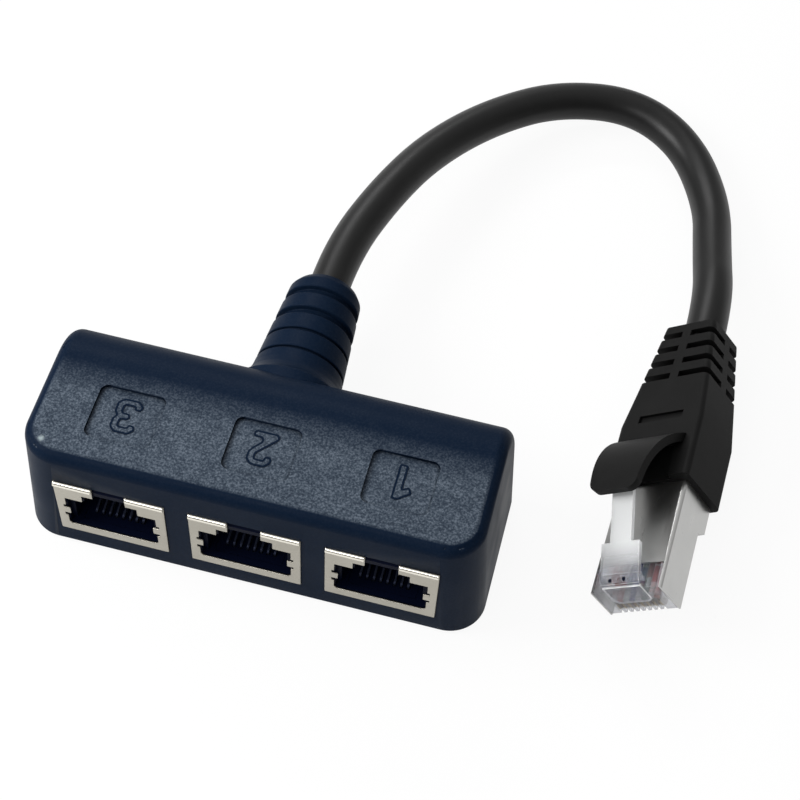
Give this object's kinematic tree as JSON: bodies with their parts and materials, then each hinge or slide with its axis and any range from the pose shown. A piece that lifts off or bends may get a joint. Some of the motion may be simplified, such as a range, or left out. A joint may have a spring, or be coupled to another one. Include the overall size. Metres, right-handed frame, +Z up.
{
  "type": "rj45 splitter adapter",
  "caption": "Network splitter adapter: a short black cable with a shielded clear plug feeds a row of shielded sockets in a dark blue moulded housing.",
  "frame": {"origin": "centre of the bounding box of the housing with its jacks and strain relief, on the table", "axes": "+X along the row of jacks towards jack 1, +Y from the jacks towards the strain relief, +Z up"},
  "size_m": [0.0996, 0.1094, 0.0235],
  "materials": {
    "housing_navy": "satin moulded, grained on top",
    "cable_black": "satin",
    "boot_black": "matte",
    "jack_black": "moulded",
    "nickel": "nickel plated sheet",
    "clear_plastic": "clear polycarbonate",
    "gold": "gold plated",
    "board_green": "solder mask",
    "wire_insulation": "coloured insulation"
  },
  "bodies": {
    "root": {"board_wires": "wire_insulation", "cable": "cable_black", "circuit_board": "board_green", "housing": "housing_navy", "jack_1_body": "jack_black", "jack_1_contact_1": "gold", "jack_1_contact_2": "gold", "jack_1_contact_3": "gold", "jack_1_contact_4": "gold", "jack_1_contact_5": "gold", "jack_1_contact_6": "gold", "jack_1_contact_7": "gold", "jack_1_contact_8": "gold", "jack_1_contact_carrier": "jack_black", "jack_1_shield": "nickel", "jack_2_body": "jack_black", "jack_2_contact_1": "gold", "jack_2_contact_2": "gold", "jack_2_contact_3": "gold", "jack_2_contact_4": "gold", "jack_2_contact_5": "gold", "jack_2_contact_6": "gold", "jack_2_contact_7": "gold", "jack_2_contact_8": "gold", "jack_2_contact_carrier": "jack_black", "jack_2_shield": "nickel", "jack_3_body": "jack_black", "jack_3_contact_1": "gold", "jack_3_contact_2": "gold", "jack_3_contact_3": "gold", "jack_3_contact_4": "gold", "jack_3_contact_5": "gold", "jack_3_contact_6": "gold", "jack_3_contact_7": "gold", "jack_3_contact_8": "gold", "jack_3_contact_carrier": "jack_black", "jack_3_shield": "nickel", "plug_blade_1": "gold", "plug_blade_2": "gold", "plug_blade_3": "gold", "plug_blade_4": "gold", "plug_blade_5": "gold", "plug_blade_6": "gold", "plug_blade_7": "gold", "plug_blade_8": "gold", "plug_body": "clear_plastic", "plug_boot": "boot_black", "plug_shield": "nickel", "plug_wire_1": "wire_insulation", "plug_wire_2": "wire_insulation", "plug_wire_3": "wire_insulation", "plug_wire_4": "wire_insulation", "plug_wire_5": "wire_insulation", "plug_wire_6": "wire_insulation", "plug_wire_7": "wire_insulation", "plug_wire_8": "wire_insulation"}
  },
  "joints": []
}
